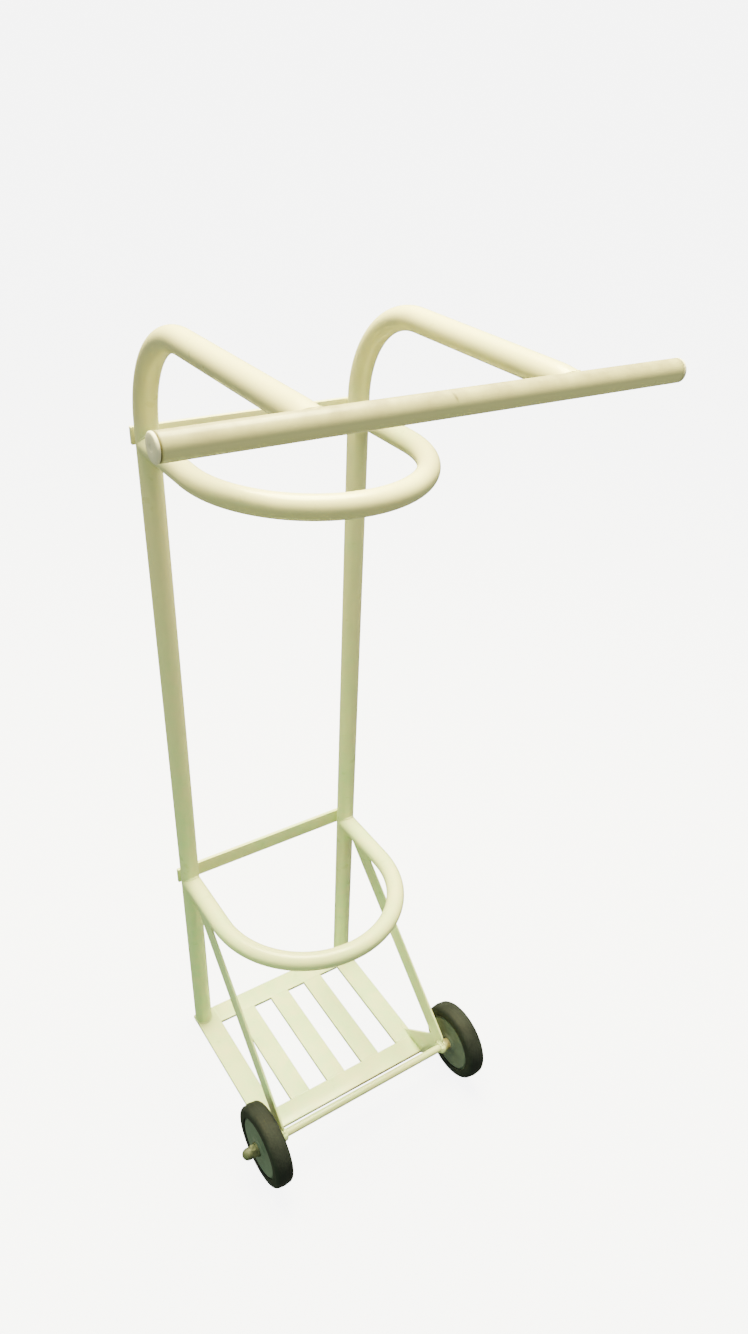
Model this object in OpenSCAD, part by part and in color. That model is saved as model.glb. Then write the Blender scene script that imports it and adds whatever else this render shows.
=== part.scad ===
// Gas cylinder trolley: a welded frame of bent tube and flat bar on two plain wheels.
// Millimetres. X runs along the axle, the handle points to -Y, the floor is Z = 0.
// The origin is on the floor under the middle of the overall box.

/* [Tube] */
// Outside diameter of the frame tube
tube_od = 26.9; // [22:0.1:30]
// Wall thickness of the frame tube and the handle
tube_wall = 2; // [1:0.1:3]

/* [Side frames] */
// Distance between the axes of the two uprights
upright_spacing = 272; // [250:1:340]
// Height of the arms' axis above the floor
arm_height = 1131; // [1000:1:1250]
// Distance from the uprights' axis forward to the handle's axis
handle_reach = 368; // [345:1:450]
// Radius of the top bends, on the tube's axis
bend_radius = 115; // [80:1:120]

/* [Handle] */
// Outside diameter of the handle tube
handle_od = 23; // [20:0.1:30]
// Overall length of the handle with its end plugs
handle_length = 540; // [440:1:640]
// Thickness of the visible disc of an end plug
plug_disc = 4; // [2:0.1:8]
// Length of the stem of an end plug inside the handle
plug_stem = 18; // [8:0.5:30]

/* [Hoops] */
// Distance from the foot of the top bends down to the upper hoop's axis
upper_hoop_drop = 19; // [16:0.5:150]
// Height of the lower hoop's axis above the floor
lower_hoop_height = 331; // [260:1:420]
// Length of a hoop's straight legs, from the uprights' axis
hoop_leg = 109; // [80:1:140]

/* [Rear bars] */
// Distance from the foot of the top bends down to the upper rear bar's middle
upper_bar_drop = 13; // [10:0.5:150]
// Height of the lower rear bar's middle above the floor
lower_bar_height = 335; // [260:1:420]
// Width of a rear bar, standing on edge
rear_bar_w = 20; // [15:0.5:30]
// Thickness of a rear bar
rear_bar_t = 5; // [3:0.5:8]

/* [Base] */
// Thickness of the flat bars of the base
base_bar_t = 6; // [4:0.5:10]
// Width of a side rail
rail_w = 35.3; // [30:0.1:42]
// Width of the front and rear cross bars
cross_bar_w = 35.5; // [28:0.5:45]
// Width of a slat
slat_w = 34; // [25:0.5:40]
// Distance that the three slats sit off the middle, to the right
slat_offset = -3.5; // [-6:0.5:6]
// Length of the base from its rear edge to its front edge
base_depth = 263.5; // [240:0.5:275]
// Distance of the base's rear edge behind the uprights' axis
base_setback = 12; // [5:0.5:20]
// Radius along the long edges of the flat bars
bar_edge_r = 1.5; // [0.5:0.1:1.8]

/* [Axle] */
// Diameter of the axle
axle_d = 12; // [10:0.5:13]
// Distance from the uprights' axis forward to the axle
axle_reach = 298; // [288:1:330]
// Thickness of an axle bracket
bracket_t = 4; // [3:0.5:6]
// Radius of the bracket's round end about the axle
bracket_eye_r = 10; // [9:0.5:11.5]
// Distance of a bracket's outer face inside the rail's outer edge
bracket_inset = 3.6; // [2:0.1:6]
// Distance from the front cross bar back to the foot of the bracket's sloping edge
bracket_heel = 15; // [5:0.5:30]
// Distance along the brace from the axle to the bracket's sloping edge
bracket_top = 21; // [16:0.5:30]
// Radius of the flare where a bracket leaves its rail
bracket_flare_r = 30; // [15:1:40]
// Width of a brace
brace_w = 25; // [24:0.5:32]
// Thickness of a brace
brace_t = 3; // [2:0.5:4]
// Distance in front of the uprights' axis at which a brace's middle meets the lower hoop's level
brace_set = 17; // [8:0.5:30]
// Distance that the top of a brace leans in from its foot
brace_lean = 6; // [0:0.5:9]

/* [Wheels] */
// Diameter of a wheel over its tyre
wheel_d = 125; // [115:1:140]
// Width of a wheel over its tyre
wheel_w = 28; // [26:0.5:40]
// Gap between a tyre and the floor while the base rests on the floor
wheel_lift = 7; // [0.5:0.1:10]
// Radius of a tyre's shoulders
shoulder_r = 12; // [4:0.5:13]
// Diameter of the seat that a tyre sits on
tyre_seat_d = 92; // [80:1:100]
// Depth of the wheel centre's face inside the tyre's face
face_recess = 1; // [0.5:0.1:9]
// Diameter of the hub boss
hub_d = 30; // [26:0.5:36]
// Distance that the hub boss stands proud of the tyre's face
hub_proud = 0.5; // [0.2:0.1:2]
// Outside diameter of the bush in the hub
bush_od = 18; // [16:0.5:22]

/* [Axle fittings] */
// Outside diameter of a spacer collar beside a bracket
collar_od = 18; // [16:0.5:22]
// Length of a spacer collar
collar_l = 10; // [3:0.1:14]
// Outside diameter of an outer washer
washer_od = 22; // [21:0.5:28]
// Thickness of an outer washer
washer_t = 2.5; // [1.5:0.1:3]
// Size across the flats of a dome nut
nut_af = 18; // [17.5:0.5:22]
// Height of a dome nut's six-sided part
nut_h = 10; // [7:0.5:12]
// Length of the straight neck between a nut's six-sided part and its dome
nut_neck = 5.5; // [0.5:0.1:8]
// Step from a nut's flats to the foot of its dome
nut_step = 1; // [0.2:0.1:1.2]
// Distance that the axle's end reaches into a nut's dome
axle_in_dome = 2; // [0.5:0.1:3]

/* [Clearances] */
// Gap left where a shaped end meets a tube, a pin meets a hole or a bar meets a tube
joint_gap = 0.1; // [0.05:0.01:0.2]
// Radial running clearance of a bush on the axle
running_gap = 0.05; // [0.02:0.01:0.1]
// Side play of a hub at each end
side_play = 0.3; // [0.2:0.05:0.6]

/* [Hidden] */

$fn = 96;
LEFT = -1;
RIGHT = 1;

PAINT = "#e4dec4";
PLUG = "#d8d4c0";
TYRE = "#3f4038";
WHEEL = "#6c6e60";
BUSH = "#b9b6a8";
ZINC = "#b3ab7c";

// Places that follow from the sizes above
tube_r = tube_od / 2;
handle_bore = handle_od - 2 * tube_wall;
upright_x = upright_spacing / 2;
upright_y = (handle_reach + handle_od / 2 - tube_r - rear_bar_t - joint_gap) / 2;
handle_y = upright_y - handle_reach;
bend_foot = arm_height - bend_radius;
upper_hoop_height = bend_foot - upper_hoop_drop;
upper_bar_height = bend_foot - upper_bar_drop;
rear_bar_y = upright_y + tube_r + joint_gap;
rail_outer_x = upright_x + tube_r;
rail_inner_x = rail_outer_x - rail_w;
base_rear_y = upright_y + base_setback;
base_front_y = base_rear_y - base_depth;
slat_rear_y = base_rear_y - cross_bar_w;
slat_front_y = base_front_y + cross_bar_w;
slot_w = (2 * rail_inner_x - 3 * slat_w) / 4;
slat_pitch = slat_w + slot_w;
axle_y = upright_y - axle_reach;
axle_z = wheel_d / 2 + wheel_lift;
axle_hole_d = axle_d + 2 * joint_gap;
bracket_outer_x = rail_outer_x - bracket_inset;
bracket_inner_x = bracket_outer_x - bracket_t;
hub_inner_x = bracket_outer_x + collar_l + side_play;
hub_l = wheel_w + 2 * hub_proud;
hub_outer_x = hub_inner_x + hub_l;
wheel_x = hub_inner_x + hub_l / 2;
washer_x = hub_outer_x + side_play;
nut_x = washer_x + washer_t;
nut_dome_r = nut_af / 2 - nut_step;
axle_half = nut_x + nut_h + nut_neck + axle_in_dome;
brace_foot_x = bracket_outer_x - bracket_t / 2;
brace_top_y = upright_y - brace_set;
brace_tilt = atan2(brace_top_y - axle_y, lower_hoop_height - axle_z);

// A straight tube along +Z from the origin
module pipe(od, wall, length) {
    linear_extrude(length) pipe_section(od, wall);
}

// The ring that a tube is drawn from
module pipe_section(od, wall) {
    difference() {
        circle(d = od);
        circle(d = od - 2 * wall);
    }
}

// A bend of a tube: turns about the origin's Z axis from +X, on the given radius
module pipe_bend(od, wall, radius, turn) {
    rotate_extrude(angle = turn) translate([radius, 0]) pipe_section(od, wall);
}

// Lays a shape that runs along +Z so that it runs along +X
module along_x() {
    rotate([0, 90, 0]) children();
}

// Lays a shape that runs along +Z so that it runs along -Y, forward
module forward() {
    rotate([90, 0, 0]) children();
}

// Section of a flat bar with rounded edges, its lower left corner at the origin
module bar_section(width, thick, edge) {
    translate([edge, 0]) square([width - 2 * edge, thick]);
    translate([0, edge]) square([width, thick - 2 * edge]);
    for (x = [edge, width - edge], y = [edge, thick - edge]) translate([x, y]) circle(r = edge);
}

// A flat bar on the floor along Y, between two X values and two Y values
module bar_along_y(x0, x1, front, rear) {
    translate([x0, rear, 0]) forward() linear_extrude(rear - front)
        bar_section(x1 - x0, base_bar_t, bar_edge_r);
}

// A flat bar on the floor along X, between two X values and two Y values
module bar_along_x(x0, x1, front, rear) {
    translate([x0, front, 0]) rotate([90, 0, 90]) linear_extrude(x1 - x0)
        bar_section(rear - front, base_bar_t, bar_edge_r);
}

// The outside of an upright, with a gap, to shape what is welded on it
module upright_cutter(side) {
    translate([side * upright_x, upright_y, 0]) cylinder(r = tube_r + joint_gap, h = arm_height);
}

// Upright, top bend and level arm in one tube, its front end shaped to the handle
module side_tube(side) {
    color(PAINT) difference() {
        translate([side * upright_x, upright_y, 0]) {
            translate([0, 0, base_bar_t]) pipe(tube_od, tube_wall, bend_foot - base_bar_t);
            translate([0, -bend_radius, bend_foot])
                rotate([90, 0, 90]) pipe_bend(tube_od, tube_wall, bend_radius, 90);
            translate([0, -bend_radius, arm_height])
                forward() pipe(tube_od, tube_wall, handle_reach - bend_radius);
        }
        translate([-handle_length / 2, handle_y, arm_height])
            along_x() cylinder(d = handle_od + 2 * joint_gap, h = handle_length);
    }
}
module left_side_tube() { side_tube(LEFT); }
module right_side_tube() { side_tube(RIGHT); }

// Straight handle across the ends of the arms
module handle_bar() {
    bare = handle_length - 2 * plug_disc;
    color(PAINT) translate([-bare / 2, handle_y, arm_height]) along_x() pipe(handle_od, tube_wall, bare);
}

// Half profile of an end plug: a disc with a rounded rim and a stem
module plug_profile() {
    rim = plug_disc / 2;
    square([handle_od / 2 - rim, plug_disc]);
    square([handle_od / 2, rim]);
    translate([handle_od / 2 - rim, rim]) intersection() {
        circle(r = rim);
        square(rim);
    }
    translate([0, -plug_stem]) square([handle_bore / 2 - joint_gap, plug_stem]);
}

// End plug of the handle, pushed in from the side
module handle_plug(side) {
    color(PLUG) translate([side * (handle_length / 2 - plug_disc), handle_y, arm_height])
        rotate([0, side * 90, 0]) rotate_extrude() plug_profile();
}
module left_handle_plug() { handle_plug(LEFT); }
module right_handle_plug() { handle_plug(RIGHT); }

// U-shaped hoop that holds the cylinder: two legs from the uprights and a half round
module hoop(height) {
    color(PAINT) difference() {
        translate([0, upright_y, height]) {
            for (side = [LEFT, RIGHT]) translate([side * upright_x, 0, 0])
                forward() pipe(tube_od, tube_wall, hoop_leg);
            translate([0, -hoop_leg, 0]) rotate([0, 0, 180])
                pipe_bend(tube_od, tube_wall, upright_x, 180);
        }
        for (side = [LEFT, RIGHT]) upright_cutter(side);
    }
}
module upper_hoop() { hoop(upper_hoop_height); }
module lower_hoop() { hoop(lower_hoop_height); }

// Flat bar on edge across the backs of the uprights
module rear_bar(height) {
    color(PAINT) translate([-rail_outer_x, rear_bar_y, height - rear_bar_w / 2])
        rotate([90, 0, 90]) linear_extrude(2 * rail_outer_x) bar_section(rear_bar_t, rear_bar_w, bar_edge_r / 2);
}
module upper_rear_bar() { rear_bar(upper_bar_height); }
module lower_rear_bar() { rear_bar(lower_bar_height); }

// Side rails, which the uprights stand on
module left_rail() { color(PAINT) bar_along_y(-rail_outer_x, -rail_inner_x, slat_front_y, base_rear_y); }
module right_rail() { color(PAINT) bar_along_y(rail_inner_x, rail_outer_x, slat_front_y, base_rear_y); }

// Cross bars: the rear one between the rails, the front one across their ends
module rear_cross_bar() { color(PAINT) bar_along_x(-rail_inner_x, rail_inner_x, slat_rear_y, base_rear_y); }
module front_cross_bar() {
    color(PAINT) bar_along_x(-bracket_inner_x, bracket_inner_x, base_front_y, slat_front_y);
}

// Slats between the cross bars
module slat(place) {
    middle = place * slat_pitch + slat_offset;
    color(PAINT) bar_along_y(middle - slat_w / 2, middle + slat_w / 2, slat_front_y, slat_rear_y);
}
module left_slat() { slat(LEFT); }
module centre_slat() { slat(0); }
module right_slat() { slat(RIGHT); }

// Outline of an axle bracket, seen from the right: first value forward, second up.
// A foot beside the front cross bar, a sloping edge up from the rail with a hollow flare, the brace's rear edge
// down to the axle, and a round eye about the axle.
module bracket_outline() {
    eye = [axle_reach, axle_z];
    along = [-sin(brace_tilt), cos(brace_tilt)];
    behind = [-cos(brace_tilt), -sin(brace_tilt)];
    half = brace_w / 2 + joint_gap;
    heel = [upright_y - slat_front_y - bracket_heel, base_bar_t];
    foot = [upright_y - slat_front_y, base_bar_t];
    toe = [upright_y - base_front_y, 0];
    slope = eye + bracket_top * along - heel;
    rise = atan2(slope[1], slope[0]);
    edge = [cos(rise), sin(rise)];
    from_eye = heel - eye;
    away = (half - from_eye * behind) / (edge * behind);
    corner = heel + away * edge;
    toe_run = norm(eye - toe);
    toe_rise = atan2(eye[1] - toe[1], eye[0] - toe[0]) - asin(bracket_eye_r / toe_run);
    start = 180 + brace_tilt;
    turn = toe_rise - 90 - start;
    round_end = [for (step = [0 : 24]) let (at = start + turn * step / 24)
        eye + bracket_eye_r * [cos(at), sin(at)]];
    reach = bracket_flare_r * tan(rise / 2);
    flare = [for (step = [0 : 8]) heel + [-reach, bracket_flare_r]
        + bracket_flare_r * [sin(rise * step / 8), -cos(rise * step / 8)]];
    difference() {
        polygon(concat(flare, [corner, eye + half * behind], round_end, [toe, [foot[0], 0], foot]));
        translate(eye) circle(d = axle_hole_d);
    }
}

// Upright plate that carries one end of the axle in front of the base
module axle_bracket(side) {
    inner = side > 0 ? bracket_inner_x : -bracket_outer_x;
    color(PAINT) translate([inner, upright_y, 0]) rotate([90, 0, 90]) linear_extrude(bracket_t)
        mirror([1, 0]) bracket_outline();
}
module left_axle_bracket() { axle_bracket(LEFT); }
module right_axle_bracket() { axle_bracket(RIGHT); }

// Flat brace from the corner under the lower hoop down to the bracket's eye, shaped at both ends
module brace(side) {
    length = norm([brace_top_y - axle_y, lower_hoop_height - axle_z]) + tube_od;
    lean = asin(brace_lean / length);
    room = 2 * length;
    color(PAINT) difference() {
        translate([side * brace_foot_x, axle_y, axle_z])
            rotate([-brace_tilt, 0, 0]) rotate([0, -side * lean, 0])
            translate([-brace_t / 2, -brace_w / 2, bracket_eye_r / 2]) cube([brace_t, brace_w, length]);
        upright_cutter(side);
        translate([side * upright_x, upright_y, lower_hoop_height])
            forward() cylinder(r = tube_r + joint_gap, h = hoop_leg);
        translate([-room / 2, upright_y, 0]) cube(room);
        translate([-room / 2, upright_y - room, lower_hoop_height]) cube([room, 2 * room, room]);
        translate([-axle_half, axle_y, axle_z])
            along_x() cylinder(r = bracket_eye_r + joint_gap, h = 2 * axle_half);
    }
}
module left_brace() { brace(LEFT); }
module right_brace() { brace(RIGHT); }

// Puts a shape that runs along +Z on the axle's line, outward from a distance X on one side
module on_axle(side, x) {
    translate([side * x, axle_y, axle_z]) rotate([0, side * 90, 0]) children();
}

// Round rod, fixed in the brackets and braces
module axle() {
    color(PAINT) translate([-axle_half, axle_y, axle_z]) along_x() cylinder(d = axle_d, h = 2 * axle_half);
}

// A plain ring for collars, washers and bushes
module ring(od, id, length) {
    difference() {
        cylinder(d = od, h = length);
        translate([0, 0, -length]) cylinder(d = id, h = 3 * length);
    }
}

// Spacer collar between a bracket and the hub
module collar(side) {
    color(PAINT) on_axle(side, bracket_outer_x) ring(collar_od, axle_hole_d, collar_l);
}
module left_collar() { collar(LEFT); }
module right_collar() { collar(RIGHT); }

// Flat washer under the dome nut
module washer(side) {
    color(ZINC) on_axle(side, washer_x) ring(washer_od, axle_hole_d, washer_t);
}
module left_washer() { washer(LEFT); }
module right_washer() { washer(RIGHT); }

// Dome nut: a six-sided foot and a round cap over the end of the axle
module dome_nut(side) {
    color(ZINC) on_axle(side, nut_x) difference() {
        union() {
            cylinder(d = nut_af / cos(30), h = nut_h, $fn = 6);
            cylinder(r = nut_dome_r, h = nut_h + nut_neck);
            translate([0, 0, nut_h + nut_neck]) rotate_extrude() intersection() {
                circle(r = nut_dome_r);
                square(nut_dome_r);
            }
        }
        translate([0, 0, -1]) cylinder(d = axle_hole_d, h = axle_half - nut_x + joint_gap + 1);
    }
}
module left_dome_nut() { dome_nut(LEFT); }
module right_dome_nut() { dome_nut(RIGHT); }

// Solid tyre with round shoulders and a flat tread
module tyre(side) {
    seat = tyre_seat_d / 2 + joint_gap;
    outer = wheel_d / 2;
    flat = wheel_w - 2 * shoulder_r;
    color(TYRE) on_axle(side, wheel_x) rotate_extrude() {
        translate([seat, -wheel_w / 2]) square([outer - shoulder_r - seat, wheel_w]);
        translate([seat, -flat / 2]) square([outer - seat, flat]);
        for (end = [LEFT, RIGHT]) translate([outer - shoulder_r, end * flat / 2]) intersection() {
            circle(r = shoulder_r);
            translate([0, end > 0 ? 0 : -shoulder_r]) square(shoulder_r);
        }
    }
}
module left_tyre() { tyre(LEFT); }
module right_tyre() { tyre(RIGHT); }

// Plain disc wheel centre with a hub boss
module wheel_centre(side) {
    bore = bush_od / 2 + joint_gap;
    web = wheel_w - 2 * face_recess;
    color(WHEEL) on_axle(side, wheel_x) rotate_extrude() {
        translate([bore, -web / 2]) square([tyre_seat_d / 2 - bore, web]);
        translate([bore, -hub_l / 2]) square([hub_d / 2 - bore, hub_l]);
    }
}
module left_wheel_centre() { wheel_centre(LEFT); }
module right_wheel_centre() { wheel_centre(RIGHT); }

// Bush pressed in the hub, which runs on the axle
module bush(side) {
    color(BUSH) on_axle(side, hub_inner_x) ring(bush_od, axle_d + 2 * running_gap, hub_l);
}
module left_bush() { bush(LEFT); }
module right_bush() { bush(RIGHT); }

left_side_tube();
right_side_tube();
handle_bar();
left_handle_plug();
right_handle_plug();
upper_hoop();
lower_hoop();
upper_rear_bar();
lower_rear_bar();
left_rail();
right_rail();
rear_cross_bar();
front_cross_bar();
left_slat();
centre_slat();
right_slat();
left_axle_bracket();
right_axle_bracket();
left_brace();
right_brace();
axle();
left_collar();
right_collar();
left_washer();
right_washer();
left_dome_nut();
right_dome_nut();
left_tyre();
right_tyre();
left_wheel_centre();
right_wheel_centre();
left_bush();
right_bush();
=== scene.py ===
"""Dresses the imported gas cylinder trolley: painted tube and bar, welds, rubber wheels and zinc nuts.

Sizes are millimetres in the part's own frame: X along the axle, the handle towards -Y, the floor at Z = 0.
Every piece is a surface worked out on a grid of two parameters, mostly a profile carried along a path.
"""

import logging
import math
from abc import ABC, abstractmethod
from collections.abc import Callable
from dataclasses import dataclass, field
from enum import Enum, IntEnum
from functools import partial

import bmesh
import bpy
import numpy as np
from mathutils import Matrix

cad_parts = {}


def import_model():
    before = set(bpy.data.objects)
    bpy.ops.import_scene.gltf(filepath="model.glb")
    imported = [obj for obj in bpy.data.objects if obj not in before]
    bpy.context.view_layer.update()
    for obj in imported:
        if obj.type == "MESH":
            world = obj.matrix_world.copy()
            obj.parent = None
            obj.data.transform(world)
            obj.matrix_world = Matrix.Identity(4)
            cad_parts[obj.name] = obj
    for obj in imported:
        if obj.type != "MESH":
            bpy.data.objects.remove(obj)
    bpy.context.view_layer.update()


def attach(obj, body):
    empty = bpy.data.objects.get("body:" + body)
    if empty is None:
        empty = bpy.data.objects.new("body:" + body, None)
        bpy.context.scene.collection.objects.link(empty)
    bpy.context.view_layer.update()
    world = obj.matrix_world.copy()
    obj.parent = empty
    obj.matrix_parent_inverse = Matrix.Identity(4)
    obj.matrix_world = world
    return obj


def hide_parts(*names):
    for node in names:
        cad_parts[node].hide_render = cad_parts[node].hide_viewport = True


LOG = logging.getLogger("trolley")
MM = 0.001
QUARTER = np.pi / 2
X_AXIS, Y_AXIS, Z_AXIS = np.eye(3)
BOTH_WAYS = (-1, 1)
Array = np.ndarray
Pair = tuple[float, float]
Triple = tuple[float, float, float]
# Distances along an axis, and the radius at each of them.
Outline = tuple[Array, Array]


class Side(IntEnum):
    """The two mirrored sides, as seen from behind the handle; each value is the side's way along X."""

    LEFT = -1
    RIGHT = 1

    @property
    def tag(self) -> str:
        """Name of the side as the nodes use it."""
        return self.name.lower()


class Body(Enum):
    """The bodies that pieces ride on."""

    FRAME = "frame"
    LEFT_WHEEL = "left_wheel"
    RIGHT_WHEEL = "right_wheel"

    @classmethod
    def wheel(cls, side: Side) -> "Body":
        """The wheel's body on one side."""
        return cls[f"{side.name}_WHEEL"]


class Slot(Enum):
    """The material slots of the record, each with the word for how its pieces are made."""

    ENAMEL = "cream_enamel", "painted"
    PLUG = "plug_plastic", "moulded"
    RUBBER = "tyre_rubber", "moulded"
    DISC = "wheel_grey", "moulded"
    NYLON = "bush_nylon", "turned"
    ZINC = "zinc_plate", "plated"

    def __init__(self, label: str, how: str) -> None:
        """Keeps the record's name of the slot and how its pieces are made."""
        self.label, self.how = label, how


class Plan:
    """Sizes and places that sub-assemblies share; those after the gap follow from the first ones."""

    tube_r = 13.45
    upright_x = 136.0
    upright_y = 180.475
    arm_z = 1131.0
    handle_reach = 368.0
    handle_r = 11.5
    upper_hoop_z = 997.0
    lower_hoop_z = 331.0
    bar_t = 6.0
    rail_w = 35.3
    cross_w = 35.5
    base_depth = 263.5
    base_setback = 12.0
    axle_reach = 298.0
    axle_z = 69.5
    axle_r = 6.0
    bracket_outer_x = 145.85
    bracket_t = 4.0
    eye_r = 10.0
    collar_l = 10.0
    side_play = 0.3
    hub_l = 29.0

    handle_y = upright_y - handle_reach
    axle_y = upright_y - axle_reach
    rail_outer_x = upright_x + tube_r
    rail_inner_x = rail_outer_x - rail_w
    rail_x = rail_outer_x - rail_w / 2
    base_rear_y = upright_y + base_setback
    base_front_y = base_rear_y - base_depth
    slat_rear_y = base_rear_y - cross_w
    slat_front_y = base_front_y + cross_w
    bracket_inner_x = bracket_outer_x - bracket_t
    plate_x = bracket_outer_x - bracket_t / 2
    hub_inner_x = bracket_outer_x + collar_l + side_play
    wheel_x = hub_inner_x + hub_l / 2
    washer_x = hub_inner_x + hub_l + side_play

    @classmethod
    def on_axle(cls, x: float) -> Array:
        """Point on the axle's line."""
        return np.array([x, cls.axle_y, cls.axle_z])

    @classmethod
    def on_handle(cls, x: float) -> Array:
        """Point on the handle's line."""
        return np.array([x, cls.handle_y, cls.arm_z])


def join(*parts: Array | list) -> Array:
    """Arrays or lists put end to end."""
    return np.concatenate(parts)


def xyz(x: Array | float, y: Array | float, z: Array | float) -> Array:
    """Points from their coordinates; a single value is spread over the others."""
    return np.stack(np.broadcast_arrays(x, y, z), -1)


def unit(way: Array) -> Array:
    """Directions brought to length one."""
    return way / np.linalg.norm(way, axis=-1, keepdims=True)


def full_turn(steps: int) -> Array:
    """Evenly spaced angles round a circle, the last one a step short of the first."""
    return np.linspace(0, 2 * np.pi, steps, endpoint=False)


def circle(turn: Array) -> Array:
    """Points of a circle of radius one: cosine and sine of the angles."""
    return np.stack([np.cos(turn), np.sin(turn)], -1)


def rounded_end(edge: float, first: float = 0.0, steps: int = 5) -> tuple[Array, Array]:
    """Distance from the end face and inset from the side, on an edge's quarter circle from an angle on."""
    turn = np.linspace(first, QUARTER, steps)
    return edge * (1 - np.cos(turn)), edge * (1 - np.sin(turn))


def headings(path: Array, closed: bool = False) -> Array:
    """Unit directions along a path or loop, from the points before and after each point."""
    step = np.roll(path, -1, 0) - np.roll(path, 1, 0) if closed else np.gradient(path, axis=0)
    return unit(step)


def carry(path: Array, side: Array, up: Array, profile: Array) -> Array:
    """Grid of a profile carried along a path: the path's point plus x times side plus y times up."""
    side, up = (np.broadcast_to(way, path.shape)[:, None] for way in (side, up))
    return path[:, None] + profile[..., :1] * side + profile[..., 1:] * up


def flat_tube(path: Array, normal: Array, squeeze: Array, steps: int = 64) -> Array:
    """A frame tube along a path in a plane; in its bends the outer half is drawn in, as bending does.

    Args:
        path: points of shape (n, 3).
        normal: normal of the path's plane.
        squeeze: share that the outer half is drawn in by, at each path point.
        steps: points round the tube.

    Returns:
        A grid of points.
    """
    across, up = Plan.tube_r * circle(full_turn(steps)).T
    drawn = across - squeeze[:, None] * np.clip(across, 0, None)
    profile = np.stack(np.broadcast_arrays(drawn, up), -1)
    return carry(path, np.cross(headings(path), normal), normal, profile)


def straight_bar(start: Array, end: Array, side: Array, width: float, thick: float, edge: float,
                 stations: int = 24) -> Array:
    """A flat bar: rectangles of corner centres plus arcs that shrink on a quarter circle at each end.

    Args:
        start: middle of one end face.
        end: middle of the other end face.
        side: direction of the bar's width.
        width: width of the bar.
        thick: thickness of the bar.
        edge: radius of its edges.
        stations: number of sections between the ends.

    Returns:
        A grid of points.
    """
    length, heading = np.linalg.norm(end - start), unit(end - start)
    lead, draw = rounded_end(edge, first=0.15)
    middle = np.linspace(edge, length - edge, stations)[1:-1]
    along = join(lead, middle, length - lead[::-1])
    inset = join(draw, np.zeros_like(middle), draw[::-1])
    corner = np.linspace(0, QUARTER, 5)
    turn = (np.arange(4)[:, None] * QUARTER + corner).ravel()
    centres = np.array([[1, 1], [-1, 1], [-1, -1], [1, -1]]) * [width / 2 - edge, thick / 2 - edge]
    profile = np.repeat(centres, len(corner), 0) + (edge - inset)[:, None, None] * circle(turn)
    return carry(start + along[:, None] * heading, side, np.cross(heading, side), profile)


def revolve(outline: Outline, centre: Array, outward: int, steps: int = 96) -> Array:
    """A turned shape about the axle's direction: each point of the outline swept round a full circle.

    Args:
        outline: distances along the axis, and radii, one for each distance or for each distance and angle.
        centre: point that the distances start from.
        outward: +1 or -1, the way along X that the distances run.
        steps: points round the circle.

    Returns:
        A grid of shape (outline points, steps, 3).
    """
    along, radius = (values if values.ndim == 2 else values[:, None] for values in outline)
    ring = radius[..., None] * circle(full_turn(steps))
    return xyz(centre[0] + outward * along, centre[1] + ring[..., 0], centre[2] + ring[..., 1])


def rounded_profile(corners: list[Triple], steps: int = 7) -> Outline:
    """An open outline whose inner corners are quadratic curves from one side of the corner to the other.

    Args:
        corners: distance along, radius and rounding length of each corner in turn.
        steps: points of each rounded corner.

    Returns:
        The finished outline.
    """
    spots, cuts = np.split(np.array(corners, float), [2], 1)
    made = [spots[:1]]
    share = np.linspace(0, 1, steps)[:, None]
    for before, spot, after, cut in zip(spots, spots[1:], spots[2:], cuts[1:]):
        first, last = spot + unit(before - spot) * cut, spot + unit(after - spot) * cut
        made.append((1 - share) ** 2 * first + 2 * share * (1 - share) * spot + share ** 2 * last)
    along, radius = join(*made, spots[-1:]).T
    return along, radius


@dataclass(frozen=True)
class WeldBead:
    """A painted-over weld: an oval carried along a seam, with the ripples of the weld pool."""

    half_width: float = 2.4
    half_height: float = 2.2
    ripple_pitch: float = 3.2
    ripple_depth: float = 0.10
    tip: float = 0.25
    steps: int = 14

    def along(self, seam: Array, up: Array, closed: bool = False, fade: Array | float = 1.0) -> Array:
        """Carries the bead along; it ripples with the absolute sine of the run and tapers at open ends.

        Args:
            seam: points of shape (n, 3).
            up: direction that the bead rises in.
            closed: whether the seam is a loop.
            fade: share of the full size, one or one for each point.

        Returns:
            A grid of points.
        """
        heading = headings(seam, closed)
        side = unit(np.cross(heading, up))
        run = join([0], np.cumsum(np.linalg.norm(np.diff(seam, axis=0), axis=1)))
        swell = fade * (1 - self.ripple_depth * np.abs(np.sin(np.pi * run / self.ripple_pitch)))
        if not closed:
            from_end = np.clip(np.minimum(run, run[-1] - run) / self.half_width, 0, 1)
            swell = swell * (self.tip + (1 - self.tip) * np.sqrt(from_end))
        oval = circle(full_turn(self.steps)) * [self.half_width, self.half_height]
        return carry(seam, side, np.cross(side, heading), oval * swell[:, None, None])


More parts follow.
